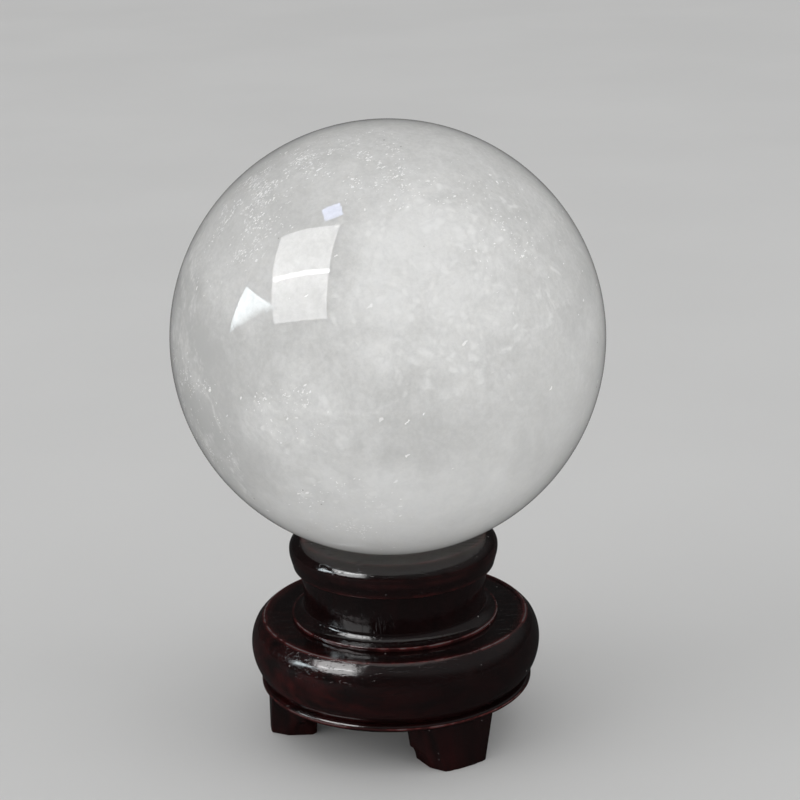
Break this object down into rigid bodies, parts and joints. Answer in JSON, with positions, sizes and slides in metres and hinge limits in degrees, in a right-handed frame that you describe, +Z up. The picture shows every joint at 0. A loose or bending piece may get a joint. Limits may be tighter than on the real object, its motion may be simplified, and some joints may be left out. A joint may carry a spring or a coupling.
{
  "type": "crystal ball",
  "caption": "Polished milky quartz ball resting loose in the dished cup of a turned, lacquered hardwood stand on bracket feet.",
  "frame": {"origin": "on the stand's axis, in the plane that the feet stand on", "axes": "+Z up along the axis through the stand and the ball; -Y is the front, with the front foot towards +X"},
  "size_m": [0.11, 0.11, 0.1609],
  "materials": {
    "quartz": "polished, milky white",
    "lacquered_wood": "dark red-brown, glossy lacquer",
    "dowel_wood": "bare beech",
    "screw_steel": "zinc plated"
  },
  "bodies": {
    "stand": {"cup_collar": "lacquered_wood", "neck": "lacquered_wood", "base_drum": "lacquered_wood", "foot_plate": "lacquered_wood", "foot_front": "lacquered_wood", "foot_left": "lacquered_wood", "foot_rear": "lacquered_wood", "dowel_front": "dowel_wood", "dowel_left": "dowel_wood", "dowel_rear": "dowel_wood", "stem_screw": "screw_steel"},
    "ball": {"crystal_ball": "quartz"}
  },
  "joints": [
    {"name": "ball_lift", "type": "slide", "parent": "stand", "child": "ball", "axis": [0, 0, 1], "range_m": [0, 0.06]}
  ]
}
